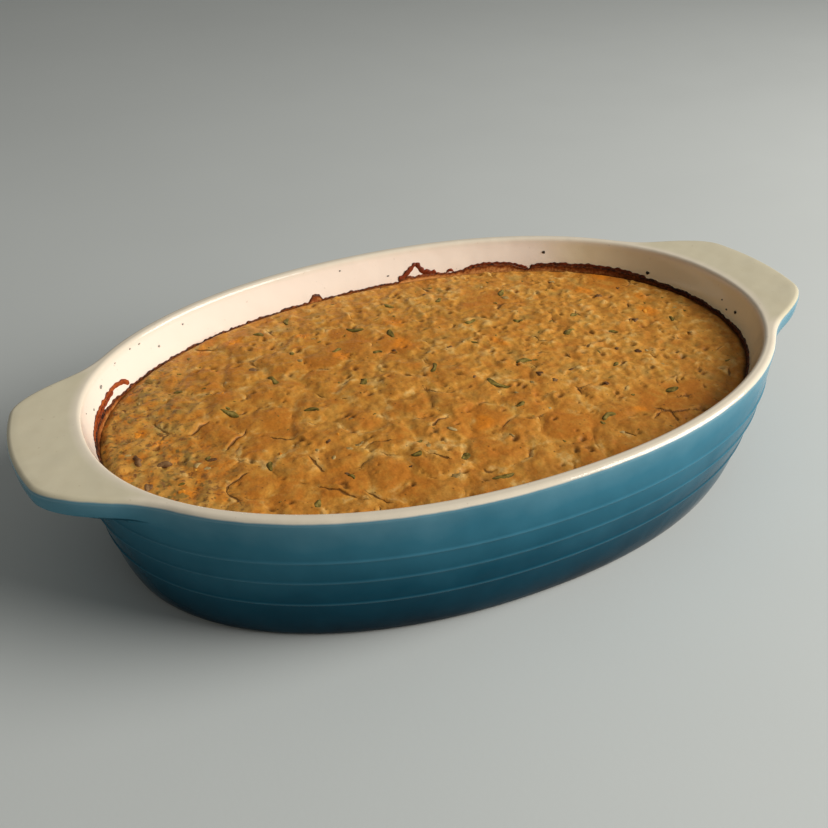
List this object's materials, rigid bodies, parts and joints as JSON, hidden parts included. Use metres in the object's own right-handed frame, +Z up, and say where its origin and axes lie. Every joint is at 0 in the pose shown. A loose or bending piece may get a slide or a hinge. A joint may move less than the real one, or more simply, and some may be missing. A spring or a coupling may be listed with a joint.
{
  "type": "ground beef pie",
  "caption": "Baked ground beef pie with a cracked golden crust and green herb pieces, filling an oval stoneware baking dish with a lug handle at each end.",
  "frame": {"origin": "middle of the flat base that the dish stands on", "axes": "+X along the dish to one of its handles, +Y to its back wall, +Z up"},
  "size_m": [0.342, 0.204, 0.0638],
  "materials": {
    "glaze": "glossy",
    "crust": "matte"
  },
  "bodies": {
    "root": {"dish": "glaze", "pie": "crust"}
  },
  "joints": []
}
